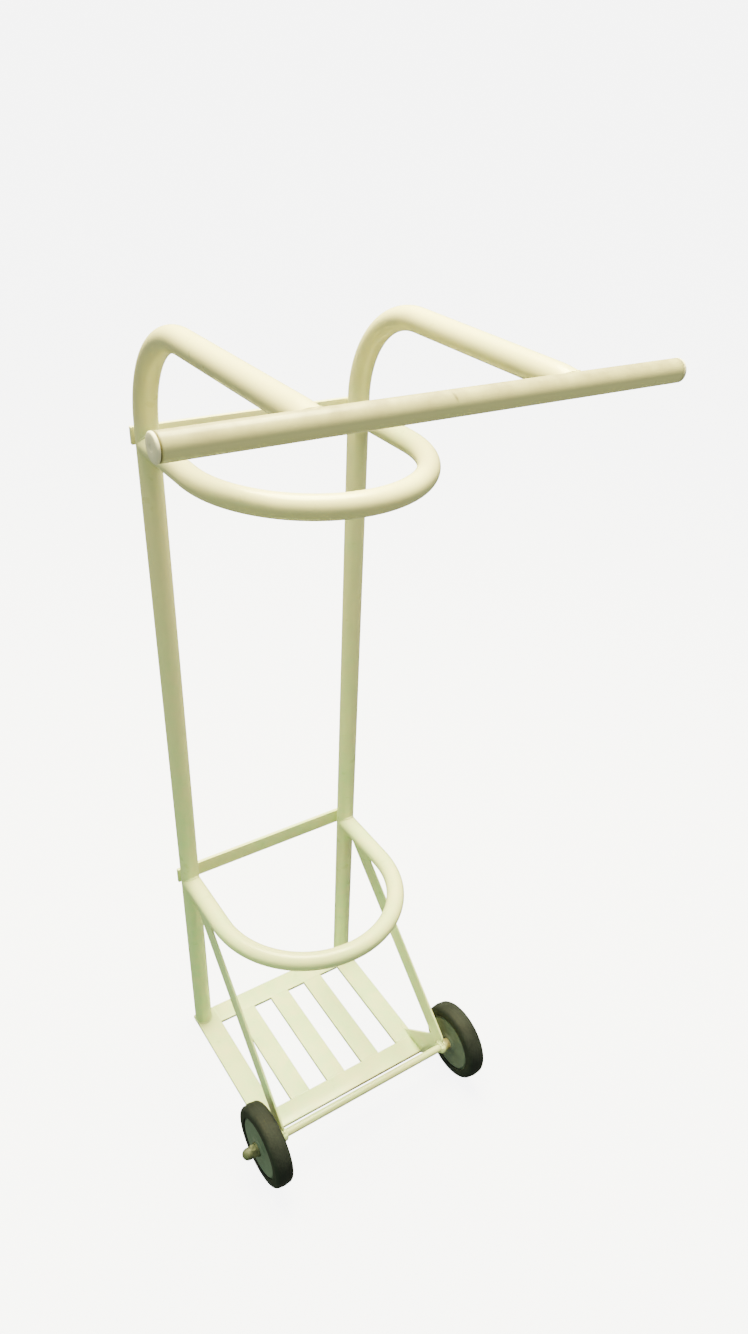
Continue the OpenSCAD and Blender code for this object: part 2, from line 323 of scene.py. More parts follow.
@dataclass
class Surface:
    """Points, faces, and grime and painted shade of one piece, gathered patch by patch."""

    points: list[Array] = field(default_factory=list)
    faces: list[list[int]] = field(default_factory=list)
    grime_and_shade: list[Array] = field(default_factory=list)
    count: int = 0

    def add(self, grid: Array, grime_and_shade: Array | float = 0.0, loop: bool = False) -> "Surface":
        """Adds a grid of closed rings as quads, and closes both ends where the path is open.

        Args:
            grid: points of shape (rings, points of a ring, 3).
            grime_and_shade: share of dirt and painted shade on each grid point, where 0 is clean and
                unshaded.
            loop: whether the last ring joins the first one.

        Returns:
            The surface itself.
        """
        rows, cols = grid.shape[:2]
        here = np.arange(rows * cols).reshape(rows, cols) + self.count
        below = np.roll(here, -1, 0)
        quads = np.stack([here, np.roll(here, -1, 1), np.roll(below, -1, 1), below], -1)
        self.faces += quads[:rows if loop else -1].reshape(-1, 4).tolist()
        if not loop:
            self.faces += [here[0, ::-1].tolist(), here[-1].tolist()]
        self.points.append(grid.reshape(-1, 3))
        self.grime_and_shade.append(np.broadcast_to(grime_and_shade, (rows, cols)).ravel())
        self.count += rows * cols
        return self

    def mesh(self, name: str, crease: float) -> bpy.types.Mesh:
        """Makes a smooth mesh with its faces outwards and the grime and painted shade as an attribute.

        Args:
            name: name of the mesh.
            crease: angle in degrees past which an edge stays sharp.

        Returns:
            The new mesh, in metres.
        """
        mesh = bpy.data.meshes.new(name)
        mesh.from_pydata((join(*self.points) * MM).tolist(), [], self.faces)
        work = bmesh.new()
        work.from_mesh(mesh)
        bmesh.ops.recalc_face_normals(work, faces=work.faces)
        work.to_mesh(mesh)
        work.free()
        mesh.polygons.foreach_set("use_smooth", np.ones(len(mesh.polygons), bool))
        mesh.set_sharp_from_angle(angle=math.radians(crease))
        grime_and_shade = mesh.attributes.new("grime_and_shade", "FLOAT", "POINT")
        grime_and_shade.data.foreach_set("value", join(*self.grime_and_shade).astype(np.float32))
        return mesh


def hex_colour(code: str) -> tuple[float, ...]:
    """Linear red, green, blue and alpha of an sRGB hex colour."""
    part = np.array([int(code[i:i + 2], 16) for i in (1, 3, 5)]) / 255
    return (*np.where(part <= 0.04045, part / 12.92, ((part + 0.055) / 1.055) ** 2.4).tolist(), 1.0)


def per_metre(size: float) -> float:
    """Scale of a pattern whose grain is the given number of millimetres."""
    return 1000.0 / size


def set_inputs(node: bpy.types.Node, inputs: dict | list) -> None:
    """Links or sets a node's inputs.

    Args:
        node: node to set.
        inputs: by name, or a list in the node's own order: a node, for its first output, a socket, a hex
            colour or a number.
    """
    for key, value in inputs.items() if isinstance(inputs, dict) else enumerate(inputs):
        if isinstance(value, bpy.types.Node):
            value = next(socket for socket in value.outputs if socket.enabled)
        if isinstance(value, bpy.types.NodeSocket):
            node.id_data.links.new(value, node.inputs[key])
        else:
            node.inputs[key].default_value = hex_colour(value) if isinstance(value, str) else value


def add_node(tree: bpy.types.NodeTree, kind: str, inputs: dict | list, **settings) -> bpy.types.Node:
    """Adds a node with its settings and links.

    Args:
        tree: node tree that it goes into.
        kind: type name of the node, after its usual first word.
        inputs: what goes into its inputs, as in set_inputs.
        settings: attributes of the node.

    Returns:
        The new node.
    """
    node = tree.nodes.new(f"ShaderNode{kind}")
    for name, value in settings.items():
        setattr(node, name, value)
    set_inputs(node, inputs)
    return node


def new_material(name: str) -> tuple[bpy.types.Material, Callable, bpy.types.Node, bpy.types.NodeSocket]:
    """Starts a node material.

    Args:
        name: name of the material.

    Returns:
        The material, add_node for its tree, its shader and the Object coordinates.
    """
    material = bpy.data.materials.new(name)
    material.use_nodes = True
    add = partial(add_node, material.node_tree)
    return material, add, material.node_tree.nodes["Principled BSDF"], add("TexCoord", []).outputs["Object"]


# Nearly all values of a noise texture lie between these. A range's list reads value, from, from, to, to.
NOISE_SPAN = (0.3, 0.7)


# Ivory stove enamel, sprayed on steel and baked. To the eye: a soft gloss on a faint orange peel, an ivory
# that turns greener towards the floor as painted shade, painted shade and soil where hands and feet reach,
# and a few small knocks.
@dataclass(frozen=True)
class StoveEnamel:
    """The paint of the frame, with its pattern sizes in millimetres."""

    head: str = "#e5e0a6"
    # The greener foot tone is painted greenish shade near the floor.
    foot: str = "#c8dfa0"
    warm: str = "#e8dca8"
    soil_and_shade: str = "#7c754f"
    full_height: float = 1000.0
    drift: float = 160.0
    wander: float = 0.4
    mottle: float = 22.0
    cloud_span: Pair = (0.4, 0.7)
    warmth: float = 0.5
    patches: Pair = (0.6, 0.9)
    knock_r: float = 1.05
    knock_edge: float = 1.5
    knock_pitch: float = 30.0
    knock_share: float = 0.035
    rough: Pair = (0.26, 0.40)
    gloss_span: Pair = (0.3, 0.75)
    soil_and_shade_rough: float = 0.3
    coat: float = 0.25
    coat_rough: float = 0.12
    # Real orange peel is about 1 mm wide, too fine to show here, so it is drawn coarser.
    peel: float = 2.6
    peel_depth: float = 0.6
    peel_bump: float = 0.035

    def make(self) -> bpy.types.Material:
        """Builds the material; soil and painted shade follow the pieces' grime_and_shade attribute.

        Returns:
            The new material.
        """
        material, add, shader, spot = new_material("ivory_stove_enamel")
        drift = add("TexNoise", {"Vector": spot, "Scale": per_metre(self.drift), "Detail": 3.0})
        mottle = add("TexNoise", {
            "Vector": spot, "Scale": per_metre(self.mottle), "Detail": 4.0, "Roughness": 0.6})

        # The tone runs from foot to head, its level wandering with the drift, and has warm clouds; the
        # greener foot is painted shade.
        height = add("SeparateXYZ", [spot]).outputs["Z"]
        wander = add("MapRange", [drift, *NOISE_SPAN, -self.wander, self.wander])
        level = add("Math", [height, per_metre(self.full_height), wander], operation="MULTIPLY_ADD",
                    use_clamp=True)
        base = add("Mix", {"Factor": level, "A": self.foot, "B": self.head}, data_type="RGBA")
        clouds = add("MapRange", [mottle, *self.cloud_span, 0.0, self.warmth])
        tint = add("Mix", {"Factor": clouds, "A": base, "B": self.warm}, data_type="RGBA")

        # Soil and painted shade are the patchy grime_and_shade attribute, or a knock in one of the few cells
        # that have one.
        grime_and_shade = add("Attribute", [], attribute_name="grime_and_shade").outputs["Fac"]
        patchy = add("MapRange", [mottle, *NOISE_SPAN, *self.patches])
        dirt_and_shade = add("Math", [grime_and_shade, patchy], operation="MULTIPLY", use_clamp=True)
        cells = add("TexVoronoi", {"Vector": spot, "Scale": per_metre(self.knock_pitch)})
        core, rim = self.knock_r / self.knock_pitch, self.knock_edge / self.knock_pitch
        near = add("MapRange", [cells, core, rim, 1.0, 0.0])
        lot = add("SeparateColor", [cells.outputs["Color"]])
        chosen = add("Math", [lot, 1 - self.knock_share], operation="GREATER_THAN")
        knocks = add("Math", [near, chosen], operation="MULTIPLY")
        soil_and_shade_share = add("Math", [dirt_and_shade, knocks], operation="MAXIMUM")
        colour = add("Mix", {"Factor": soil_and_shade_share, "A": tint, "B": self.soil_and_shade}, data_type="RGBA")

        # The gloss is a little uneven, and duller where soil and painted shade lie.
        gloss = add("MapRange", [mottle, *self.gloss_span, *self.rough])
        dull = add("Math", [soil_and_shade_share, self.soil_and_shade_rough, gloss], operation="MULTIPLY_ADD")
        peel = add("TexNoise", {"Vector": spot, "Scale": per_metre(self.peel), "Detail": 1.0})
        bump = add("Bump", {"Height": peel, "Strength": self.peel_bump, "Distance": self.peel_depth * MM})
        set_inputs(shader, {"Base Color": colour, "Roughness": dull, "Normal": bump, "IOR": 1.5,
                            "Coat Weight": self.coat, "Coat Roughness": self.coat_rough})
        return material


# Rubber or plastic from a spark-eroded mould. To the eye: a matt colour with a paler bloom in patches.
@dataclass(frozen=True)
class MouldedPolymer:
    """A moulded polymer, with its pattern sizes in millimetres."""

    name: str
    tone: str
    bloom: str
    rough: Pair
    bloom_size: float = 26.0
    bloom_span: Pair = (0.38, 0.72)
    # A mould's texture is about 0.1 mm wide, too fine to show here, so it is drawn coarser.
    texture: float = 1.6
    texture_depth: float = 0.5
    bump: float = 0.12
    ior: float = 1.5
    specular: float = 0.5

    def make(self) -> bpy.types.Material:
        """Builds the material; the bloom lies in soft patches, and the grime_and_shade attribute adds it as
        dust on the tyres and as painted shade on the plugs.

        Returns:
            The new material.
        """
        material, add, shader, spot = new_material(self.name)
        patches = add("TexNoise", {
            "Vector": spot, "Scale": per_metre(self.bloom_size), "Detail": 5.0, "Roughness": 0.65})
        share = add("MapRange", [patches, *self.bloom_span])
        grime_and_shade = add("Attribute", [], attribute_name="grime_and_shade").outputs["Fac"]
        dust_and_shade = add("Math", [share, grime_and_shade], operation="ADD", use_clamp=True)
        colour = add("Mix", {"Factor": dust_and_shade, "A": self.tone, "B": self.bloom}, data_type="RGBA")
        rough = add("MapRange", [patches, *NOISE_SPAN, *self.rough])
        grain = add("TexNoise", {"Vector": spot, "Scale": per_metre(self.texture), "Detail": 2.0})
        bump = add("Bump", {"Height": grain, "Strength": self.bump, "Distance": self.texture_depth * MM})
        set_inputs(shader, {"Base Color": colour, "Roughness": rough, "Normal": bump, "IOR": self.ior,
                            "Specular IOR Level": self.specular})
        return material


# Yellow zinc, plated on steel and weathered. To the eye: a dull metal, olive to green-grey in clouds.
@dataclass(frozen=True)
class YellowZinc:
    """The plating of the nuts and washers, with its pattern sizes in millimetres."""

    tone: str = "#6b6f5e"
    tarnish: str = "#595e52"
    rough: Pair = (0.7, 0.85)
    cloud: float = 7.0
    cloud_span: Pair = (0.35, 0.7)
    cloud_depth: float = 0.4
    bump: float = 0.05

    def make(self) -> bpy.types.Material:
        """Builds the material; the tarnished clouds are rougher than the clean plate.

        Returns:
            The new material.
        """
        material, add, shader, spot = new_material("yellow_zinc_plate")
        cloud = add("TexNoise", {"Vector": spot, "Scale": per_metre(self.cloud), "Detail": 4.0})
        share = add("MapRange", [cloud, *self.cloud_span])
        colour = add("Mix", {"Factor": share, "A": self.tone, "B": self.tarnish}, data_type="RGBA")
        rough = add("MapRange", [cloud, *NOISE_SPAN, *self.rough])
        bump = add("Bump", {"Height": cloud, "Strength": self.bump, "Distance": self.cloud_depth * MM})
        set_inputs(shader, {"Base Color": colour, "Roughness": rough, "Normal": bump, "Metallic": 1.0})
        return material


FINISHES = {
    Slot.ENAMEL: StoveEnamel(),
    # Polyethylene: milky and a little waxy.
    Slot.PLUG: MouldedPolymer("polyethylene_plug", "#f7f2d8", "#e7e0c4", (0.42, 0.58), ior=1.51),
    # Solid grey rubber: dark, with hardly any shine.
    Slot.RUBBER: MouldedPolymer("moulded_grey_rubber", "#16191b", "#24282a", (0.62, 0.82), bloom_size=34.0,
                                texture=1.2, bump=0.2, ior=1.52, specular=0.14),
    # Polypropylene: an even mid grey with a soft sheen.
    Slot.DISC: MouldedPolymer("polypropylene_wheel_grey", "#4e5455", "#60666a", (0.5, 0.66), ior=1.49,
                              specular=0.3),
    # Nylon, turned: off-white and a little smoother than the rest.
    Slot.NYLON: MouldedPolymer("turned_nylon", "#d4d0bf", "#c2bda8", (0.4, 0.5), ior=1.53),
    Slot.ZINC: YellowZinc(),
}


@dataclass
class SubAssembly(ABC):
    """Base of the sub-assemblies: sizes as fields, and pieces dressed in these materials."""

    materials: dict[Slot, bpy.types.Material]

    @abstractmethod
    def dress(self) -> None:
        """Builds the pieces and gives them their finishes."""

    def piece(self, name: str, surface: Surface, slot: Slot, node: str = "", body: Body = Body.FRAME,
              crease: float = 38.0) -> None:
        """Makes a Blender object, at the origin with its place in its mesh.

        Args:
            name: name of the object.
            surface: its shape, grime and painted shade.
            slot: material slot of the record.
            node: node of the frame that it stands for, if any.
            body: body that it rides on.
            crease: angle in degrees past which an edge stays sharp.
        """
        mesh = surface.mesh(name, crease)
        mesh.materials.append(self.materials[slot])
        made = bpy.data.objects.new(name, mesh)
        bpy.context.scene.collection.objects.link(made)
        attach(made, body.value)
        if node:
            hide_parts(node)
        LOG.info("%s: %d faces on %s", name, len(mesh.polygons), body.value)

    def stand_in(self, node: str, grid: Array, grime_and_shade: Array | float = 0.0, slot: Slot = Slot.ENAMEL,
                 loop: bool = False, **settings) -> None:
        """Makes a piece from one grid in place of a node, and names it for the node and how it is made."""
        self.piece(f"{node}_{slot.how}", Surface().add(grid, grime_and_shade, loop), slot, node, **settings)


@dataclass
class SideFrames(SubAssembly):
    """The two bent side tubes: upright, top bend and level arm."""

    bend_r: float = 115.0
    bend_flatten: float = 0.15
    cope: float = 26.0
    cope_gap: float = 0.1
    foot_shade: float = 0.35
    foot_fade: float = 17.5
    upright_steps: int = 120
    bend_steps: int = 48
    arm_steps: int = 40

    def dress(self) -> None:
        """Builds both tubes, whose feet carry a painted shade where they stand on the rails.

        Their axis is a line up, a quarter circle forward and a line to the handle. The arms draw down to the
        handle on a smooth step.
        """
        spring, thinner = Plan.arm_z - self.bend_r, 1 - (Plan.handle_r - self.cope_gap) / Plan.tube_r
        bend = self.bend_r * circle(np.linspace(0, QUARTER, self.bend_steps))
        rise = np.linspace(Plan.bar_t, spring, self.upright_steps)[:-1]
        reach = np.linspace(-self.bend_r, -Plan.handle_reach, self.arm_steps)[1:]
        y = Plan.upright_y + join(np.zeros_like(rise), bend[:, 0] - self.bend_r, reach)
        z = join(rise, spring + bend[:, 1], np.full_like(reach, Plan.arm_z))
        inside = np.clip(np.stack([y - Plan.upright_y, z - Plan.arm_z]) / self.bend_r + 1, 0, 1)
        squeeze = self.bend_flatten * np.sin(inside * QUARTER).prod(0)
        near = np.clip((Plan.handle_y + self.cope - y) / self.cope, 0, 1)
        level = 1 - thinner * near * near * (3 - 2 * near)
        for side in Side:
            tube = flat_tube(xyz(side * Plan.upright_x, y, z), X_AXIS, squeeze)
            tube[..., 2] = Plan.arm_z + (tube[..., 2] - Plan.arm_z) * level[:, None]
            # Painted shade, darkest at the foot, where the tube stands on the rail.
            grime_and_shade = self.foot_shade * np.exp((Plan.bar_t - tube[..., 2]) / self.foot_fade)
            self.stand_in(f"{side.tag}_side_tube", tube, grime_and_shade)


@dataclass
class Handle(SubAssembly):
    """The straight handle and its two end plugs."""

    half: float = 270.0
    edge: float = 1.2
    plug_disc: float = 4.0
    groove: float = 0.9
    stem_l: float = 14.0
    stem_step: float = 2.2
    dimple_r: float = 3.0
    dimple_depth: float = 0.3
    pole_r: float = 0.3
    knock_x: float = -9.0
    knock_turn: float = 2.35
    knock_slant: float = 3.0
    knock_w: float = 1.1
    knock_arc: float = 0.32
    knock_dirt: float = 0.8
    palm_soil_and_shade: float = 1.05
    palm_wrap: float = 0.15
    end_groove_shade: float = 1.6
    end_fade: float = 0.7
    fine_span: Pair = (-38.0, 30.0)
    fine_steps: int = 90
    coarse_steps: int = 60
    ring_gap: float = 2.0
    steps: int = 96

    def bar(self) -> tuple[Array, Array]:
        """A turned bar with rounded ends, darkened on top by painted shade and hand soil, at its ends by
        painted groove shade, and along one slanting knock.

        Returns:
            A grid of points, whose rings lie closer around the knock, and its grime.
        """
        end, (low, high), gap = self.half - self.plug_disc, self.fine_span, self.ring_gap
        lead, draw = rounded_end(self.edge)
        along = join(
            lead - end, np.linspace(gap - end, low - gap, self.coarse_steps),
            np.linspace(low, high, self.fine_steps),
            np.linspace(high + gap, end - gap, self.coarse_steps), end - lead[::-1])
        inset = join(draw, np.zeros(len(along) - 2 * len(draw)), draw[::-1])
        turn = full_turn(self.steps)
        past = turn - self.knock_turn
        across = (along - self.knock_x)[:, None] - self.knock_slant * past
        knock = np.exp(-(across / self.knock_w) ** 2 - (past / self.knock_arc) ** 2)
        # Painted shade with some hand soil darkens the top; painted shade darkens the ends beside the plugs'
        # grooves.
        top_soil_and_shade = np.clip(np.sin(turn) + self.palm_wrap, 0, 1)
        ends = np.exp((np.abs(along) - end) / self.end_fade)[:, None]
        grime_and_shade = self.palm_soil_and_shade * top_soil_and_shade + self.knock_dirt * knock + self.end_groove_shade * ends
        grid = revolve((along, Plan.handle_r - inset), Plan.on_handle(0.0), 1, self.steps)
        return grid, np.clip(grime_and_shade, 0, 2)

    def dress(self) -> None:
        """Builds the bar and its plugs: a stem, a groove darkened with painted shade, a rounded rim and a
        face with a dimple.
        """
        self.stand_in("handle_bar", *self.bar())
        disc, rim = self.plug_disc - self.groove, Plan.handle_r
        stem = rim - self.stem_step
        along, radius = rounded_profile([
            (-self.stem_l, self.pole_r, 0), (-self.stem_l, stem, 0.6), (-disc, stem, 0.3), (-disc, rim, 0.5),
            (-0.5, rim, 1.6), (0, rim - 4, 1.5), (0, self.dimple_r, 0.4),
            (-self.dimple_depth, self.dimple_r - 0.6, 0.3), (-self.dimple_depth, self.pole_r, 0)])
        # Painted shade darkens the stem inside the groove behind the plug's rim.
        grime_and_shade = np.clip(-2 * (along + disc), 0, 1)[:, None]
        for side in Side:
            plug = Surface().add(revolve((along, radius), Plan.on_handle(side * self.half), side), grime_and_shade)
            self.piece(f"{side.tag}_plug_moulded", plug, Slot.PLUG, f"{side.tag}_handle_plug")


@dataclass
class Hoops(SubAssembly):
    """The two U-shaped hoops that hold the cylinder."""

    leg: float = 109.0
    flatten: float = 0.04
    flatten_run: float = 20.0
    bend_steps: int = 120
    leg_steps: int = 30

    def dress(self) -> None:
        """Builds both hoops as bent tubes, whose axis is a leg forward, a half circle and a leg back."""
        bend = Plan.upright_x * circle(np.linspace(0, np.pi, self.bend_steps))
        leg = np.linspace(0, self.leg, self.leg_steps)[:-1]
        ends = np.full_like(leg, Plan.upright_x)
        x = join(-ends, -bend[:, 0], ends)
        forward = join(leg, self.leg + bend[:, 1], leg[::-1])
        squeeze = self.flatten * np.clip((forward - self.leg) / self.flatten_run, 0, 1)
        for name, height in (("upper_hoop", Plan.upper_hoop_z), ("lower_hoop", Plan.lower_hoop_z)):
            self.stand_in(name, flat_tube(xyz(x, Plan.upright_y - forward, height), Z_AXIS, squeeze))


@dataclass
class FlatBars(SubAssembly):
    """The flat bars: two across the back and the open platform of the base."""

    upper_bar_z: float = 1003.0
    lower_bar_z: float = 335.0
    rear_w: float = 20.0
    rear_t: float = 5.0
    rear_gap: float = 0.1
    lower_extra: float = 5.0
    slat_w: float = 34.0
    slat_offset: float = -3.5
    edge: float = 1.5
    foot_shade: float = 0.9
    foot_fade: float = 34.0 / 3
    flank_shade: float = 0.6
    front_face_shade: float = 1.1
    lip_run: float = 30.0
    lip_start: float = 0.4
    stations: int = 90

    @property
    def rear_bars(self) -> list[tuple[str, float, float]]:
        """Name, middle height and width of each rear bar; the lower one is wider, with its top in place."""
        return [("upper_rear_bar", self.upper_bar_z, self.rear_w),
                ("lower_rear_bar", self.lower_bar_z - self.lower_extra / 2, self.rear_w + self.lower_extra)]

    @property
    def slats(self) -> list[tuple[str, float]]:
        """Name and middle X of each slat: evenly spaced between the rails, then set a little to one side."""
        pitch = self.slat_w + (2 * Plan.rail_inner_x - 3 * self.slat_w) / 4
        return [(f"{name}_slat", place * pitch + self.slat_offset)
                for name, place in (("left", -1), ("centre", 0), ("right", 1))]

    def base_bar(self, name: str, start: Pair, end: Pair, width: float) -> None:
        """Builds one bar of the base, with painted shade by the uprights, on its flanks and along the front
        face.

        Args:
            name: node that the bar stands for.
            start: X and Y of the middle of one end.
            end: X and Y of the middle of the other end.
            width: width of the bar.
        """
        first, last = (np.array([*spot, Plan.bar_t / 2]) for spot in (start, end))
        side = X_AXIS if start[0] == end[0] else Y_AXIS
        grid = straight_bar(first, last, side, width, Plan.bar_t, self.edge, self.stations)
        x, y, z = np.moveaxis(grid, -1, 0)
        # Painted shade: round the uprights' feet, on the lower flanks and along the front face, stronger to
        # the right.
        away = np.hypot(np.abs(x) - Plan.upright_x, y - Plan.upright_y) - Plan.tube_r
        foot = np.exp(-np.clip(away, 0, None) / self.foot_fade)
        front = np.clip(1 - (y - Plan.base_front_y) / self.edge, 0, 1)
        front_lip_shade = front * np.clip(self.lip_start + x / self.lip_run, 0, 1)
        flank = np.clip((Plan.bar_t - z) / self.edge, 0, 1)
        self.stand_in(name, grid, self.foot_shade * foot + self.front_face_shade * front_lip_shade + self.flank_shade * flank)

    def dress(self) -> None:
        """Builds the rear bars, the rails, the cross bars and the slats."""
        rear_y = Plan.upright_y + Plan.tube_r + self.rear_gap + self.rear_t / 2
        for name, middle, width in self.rear_bars:
            end = np.array([Plan.rail_outer_x, rear_y, middle])
            bar = straight_bar(end * [-1, 1, 1], end, Z_AXIS, width, self.rear_t, self.edge / 2)
            self.stand_in(name, bar)
        for side in Side:
            x = side * Plan.rail_x
            self.base_bar(f"{side.tag}_rail", (x, Plan.base_rear_y), (x, Plan.slat_front_y), Plan.rail_w)
        half = Plan.cross_w / 2
        for name, reach, y in (("rear_cross_bar", Plan.rail_inner_x, Plan.base_rear_y - half),
                               ("front_cross_bar", Plan.bracket_inner_x, Plan.base_front_y + half)):
            self.base_bar(name, (-reach, y), (reach, y), Plan.cross_w)
        for name, x in self.slats:
            self.base_bar(name, (x, Plan.slat_rear_y), (x, Plan.slat_front_y), self.slat_w)


@dataclass
class AxleSupports(SubAssembly):
    """The axle, the bracket plates that carry it, the flat braces down to them and the spacer collars."""

    heel: float = 15.0
    top: float = 21.0
    flare_r: float = 30.0
    plate_edge: float = 0.8
    plate_crease: float = 30.0
    brace_w: float = 32.0
    brace_t: float = 3.0
    brace_edge: float = 0.7
    brace_seat: float = 12.5
    brace_set: float = 17.0
    brace_lean: float = 6.0
    brace_steps: int = 160
    eye_steps: int = 40
    flare_steps: int = 14
    axle_steps: int = 80
    head_clear: float = 8.0
    foot_lap: float = 2.0
    foot_w: float = 20.0
    foot_round: float = 14.0
    gap: float = 0.1
    collar_r: float = 9.0
    bore_lap: float = 0.2
    axle_over: float = 20.0
    axle_darkening: float = 0.35
    hub_shade_and_grease: float = 1.6
    shade_and_grease_start: float = 0.4

    def outline(self) -> Array:
        """Edge of a bracket: the flare's arc, the slope, the brace's rear edge, the eye's arc and the foot.

        Returns:
            Distance forward of the uprights and height, of shape (n, 2).
        """
        eye = np.array([Plan.axle_reach, Plan.axle_z])
        along = unit(np.array([self.brace_set - Plan.axle_reach, Plan.lower_hoop_z - Plan.axle_z]))
        behind = np.array([-along[1], along[0]])
        half = self.brace_seat + self.gap
        front = Plan.upright_y - Plan.slat_front_y
        heel = np.array([front - self.heel, Plan.bar_t])
        toe = np.array([Plan.upright_y - Plan.base_front_y, 0.0])
        edge = unit(eye + self.top * along - heel)
        rise = math.atan2(edge[1], edge[0])
        corner = heel + (half - (heel - eye) @ behind) / (edge @ behind) * edge
        to_eye = eye - toe
        toe_rise = math.atan2(to_eye[1], to_eye[0]) - math.asin(Plan.eye_r / np.linalg.norm(to_eye))
        first = math.atan2(behind[1], behind[0]) + 2 * math.pi
        eye_arc = eye + Plan.eye_r * circle(np.linspace(first, toe_rise - QUARTER, self.eye_steps))
        flare_centre = heel + [-self.flare_r * math.tan(rise / 2), self.flare_r]
        flare = flare_centre + self.flare_r * circle(np.linspace(0, rise, self.flare_steps) - QUARTER)
        foot = [toe, [front, 0.0], [front, Plan.bar_t]]
        return join(flare, [corner, eye + half * behind], eye_arc, foot)

    def bracket(self, side: Side) -> Array:
        """A plate: its outline carried across its thickness and drawn in a little at both faces.

        Args:
            side: side of the trolley.

        Returns:
            A grid of points.
        """
        edge = self.outline()
        after, before = np.roll(edge, -1, 0), np.roll(edge, 1, 0)
        area = np.sum(edge[:, 0] * after[:, 1] - after[:, 0] * edge[:, 1])
        inward = np.sign(area) * unit((after - before)[:, ::-1] * [-1, 1])
        lead, draw = rounded_end(self.plate_edge, first=0.1, steps=4)
        across = join(lead, Plan.bracket_t - lead[::-1])
        flat = edge + join(draw, draw[::-1])[:, None, None] * inward
        x = side * (Plan.bracket_inner_x + across)
        return xyz(x[:, None], Plan.upright_y - flat[..., 0], flat[..., 1])

    def brace_frame(self, side: Side) -> tuple[Array, Array, Array, Array]:
        """Place of a brace, whose middle line runs from the axle to the corner under the lower hoop.

        Args:
            side: side of the trolley.

        Returns:
            The line's lower and upper ends, its direction and the direction across the brace.
        """
        foot = Plan.on_axle(side * Plan.plate_x)
        head_x = side * (Plan.plate_x - self.brace_lean)
        head = np.array([head_x, Plan.upright_y - self.brace_set, Plan.lower_hoop_z])
        heading = unit(head - foot)
        return foot, head, heading, unit(np.cross(heading, X_AXIS))

    def brace(self, side: Side) -> Array:
        """A flat bar whose foot narrows on a quarter ellipse, so that it ends round.

        Args:
            side: side of the trolley.

        Returns:
            A grid of points.
        """
        foot, head, heading, across = self.brace_frame(side)
        start = Plan.eye_r - self.foot_lap
        grid = straight_bar(foot + heading * start, head - heading * self.head_clear, across, self.brace_w,
                            self.brace_t, self.brace_edge, self.brace_steps)
        near = 1 - np.clip(((grid - foot) @ heading - start) / self.foot_round, 0, 1)
        narrow = (1 - self.foot_w / self.brace_w) * (1 - np.sqrt(1 - near * near))
        return grid - (narrow * ((grid - foot) @ across))[..., None] * across

    def dress(self) -> None:
        """Builds the brackets, the braces, the collars, which painted shade and hub grease darken towards
        the wheel, and the axle.
        """
        bore, length, r = Plan.axle_r - self.bore_lap, Plan.collar_l, self.collar_r
        collar = rounded_profile([(0, bore, 0), (0, r, 0.8), (length, r, 2.2), (length, bore, 0)], 8)
        # Painted shade beside the wheel, with hub grease, darkens the collar towards the wheel.
        shade_and_grease = self.hub_shade_and_grease * np.clip(self.shade_and_grease_start + collar[0] / length, 0, 1)[:, None]
        for side in Side:
            self.stand_in(f"{side.tag}_axle_bracket", self.bracket(side), crease=self.plate_crease)
            self.stand_in(f"{side.tag}_brace", self.brace(side))
            seat = Plan.on_axle(side * Plan.bracket_outer_x)
            self.stand_in(f"{side.tag}_collar", revolve(collar, seat, side, 64), shade_and_grease)
        end = Plan.washer_x + self.axle_over
        rod = np.linspace(-end, end, self.axle_steps), np.full(self.axle_steps, Plan.axle_r)
        # The whole axle is darkened evenly.
        self.stand_in("axle", revolve(rod, Plan.on_axle(0.0), 1, 48), self.axle_darkening)


@dataclass
class AxleEnds(SubAssembly):
    """The washers and dome nuts at the ends of the axle."""

    washer_r: float = 11.0
    washer_t: float = 2.5
    nut_flat: float = 9.0
    nut_h: float = 7.0
    nut_crease: float = 24.0
    chamfer: float = 1.4
    cone_foot: float = 0.2
    cone_top: float = 0.1
    neck: float = 4.5
    fillet: float = 0.8
    dome_r: float = 8.8
    flat_steps: int = 34
    dome_steps: int = 22
    fillet_steps: int = 5
    steps: int = 96

    def nut(self) -> Outline:
        """A dome nut: the least of a hexagon and two chamfer cones, then a neck and a quarter circle.

        Returns:
            The outline, with a radius for each distance and angle.
        """
        hexagon = self.nut_flat / np.cos(np.mod(full_turn(self.steps), np.pi / 3) - np.pi / 6)
        foot = np.linspace(0, self.nut_h, self.flat_steps)
        slope = self.chamfer * foot
        cone = self.nut_flat + np.minimum(self.cone_foot + slope, self.cone_top + slope[::-1])
        dome = self.dome_r * circle(np.linspace(0, QUARTER, self.dome_steps)[1:-1])
        rise = np.sin(np.linspace(0, QUARTER, self.fillet_steps)[1:])
        shoulder = self.nut_h + self.neck
        along = join([0.0], foot, self.nut_h + self.fillet * rise, [shoulder], shoulder + dome[:, 1])
        turned = join(self.dome_r + self.fillet * (1 - rise) ** 2, [self.dome_r], dome[:, 0])
        radius = join(np.full((1, self.steps), Plan.axle_r), np.minimum(hexagon, cone[:, None]),
                      np.repeat(turned[:, None], self.steps, 1))
        return along, radius

    def dress(self) -> None:
        """Builds a nut and a washer at each end."""
        bore, thick, r = Plan.axle_r, self.washer_t, self.washer_r
        washer = rounded_profile([(0, bore, 0), (0, r, 0.4), (thick, r, 0.7), (thick, bore, 0)], 6)
        for side in Side:
            nut = revolve(self.nut(), Plan.on_axle(side * (Plan.washer_x + thick)), side, self.steps)
            self.stand_in(f"{side.tag}_dome_nut", nut, slot=Slot.ZINC, crease=self.nut_crease)
            ring = revolve(washer, Plan.on_axle(side * Plan.washer_x), side, 72)
            self.stand_in(f"{side.tag}_washer", ring, slot=Slot.ZINC)


